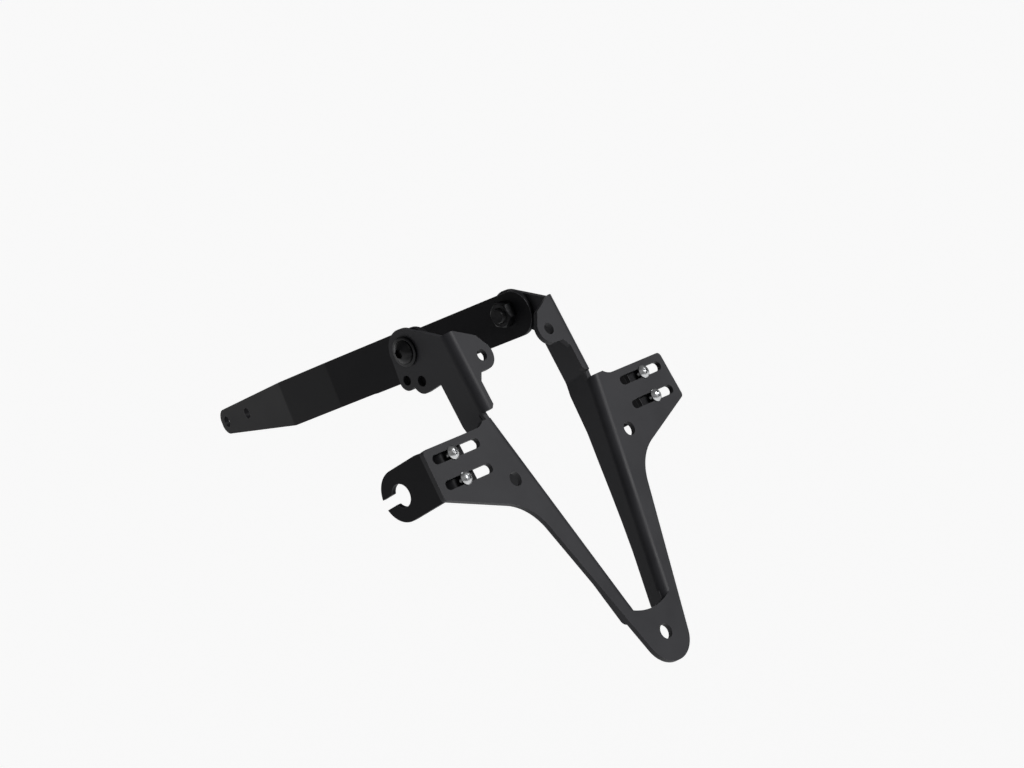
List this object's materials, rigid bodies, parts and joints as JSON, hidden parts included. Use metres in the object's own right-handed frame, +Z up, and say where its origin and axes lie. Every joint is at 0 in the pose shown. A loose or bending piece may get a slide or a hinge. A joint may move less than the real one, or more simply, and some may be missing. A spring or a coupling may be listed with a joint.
{
  "type": "motorcycle licence plate bracket",
  "caption": "Folded sheet plate frame with side arms, slotted wings, clamp-on indicator brackets and a pair of mounting brackets for a motorcycle tail.",
  "frame": {"origin": "centre of the lower hole at the rear face of the plate frame", "axes": "+X to the vehicle's right, +Y forward, +Z up; the plate face looks backward and up"},
  "size_m": [0.2008, 0.3311, 0.1677],
  "materials": {
    "frame_coat": "satin black powder coat",
    "bracket_coat": "satin black powder coat, finer",
    "zinc": "bright zinc plate",
    "dark_bolt": "black zinc plate"
  },
  "bodies": {
    "root": {"plate_frame": "frame_coat", "left_mount_bracket": "bracket_coat", "left_indicator_bracket": "bracket_coat", "left_pivot_bolt": "dark_bolt", "left_pivot_washer": "dark_bolt", "left_pivot_nut": "dark_bolt", "left_upper_screw": "zinc", "left_upper_washer": "zinc", "left_upper_nut": "zinc", "left_lower_screw": "zinc", "left_lower_washer": "zinc", "left_lower_nut": "zinc", "right_mount_bracket": "bracket_coat", "right_indicator_bracket": "bracket_coat", "right_pivot_bolt": "dark_bolt", "right_pivot_washer": "dark_bolt", "right_pivot_nut": "dark_bolt", "right_upper_screw": "zinc", "right_upper_washer": "zinc", "right_upper_nut": "zinc", "right_lower_screw": "zinc", "right_lower_washer": "zinc", "right_lower_nut": "zinc"}
  },
  "joints": []
}
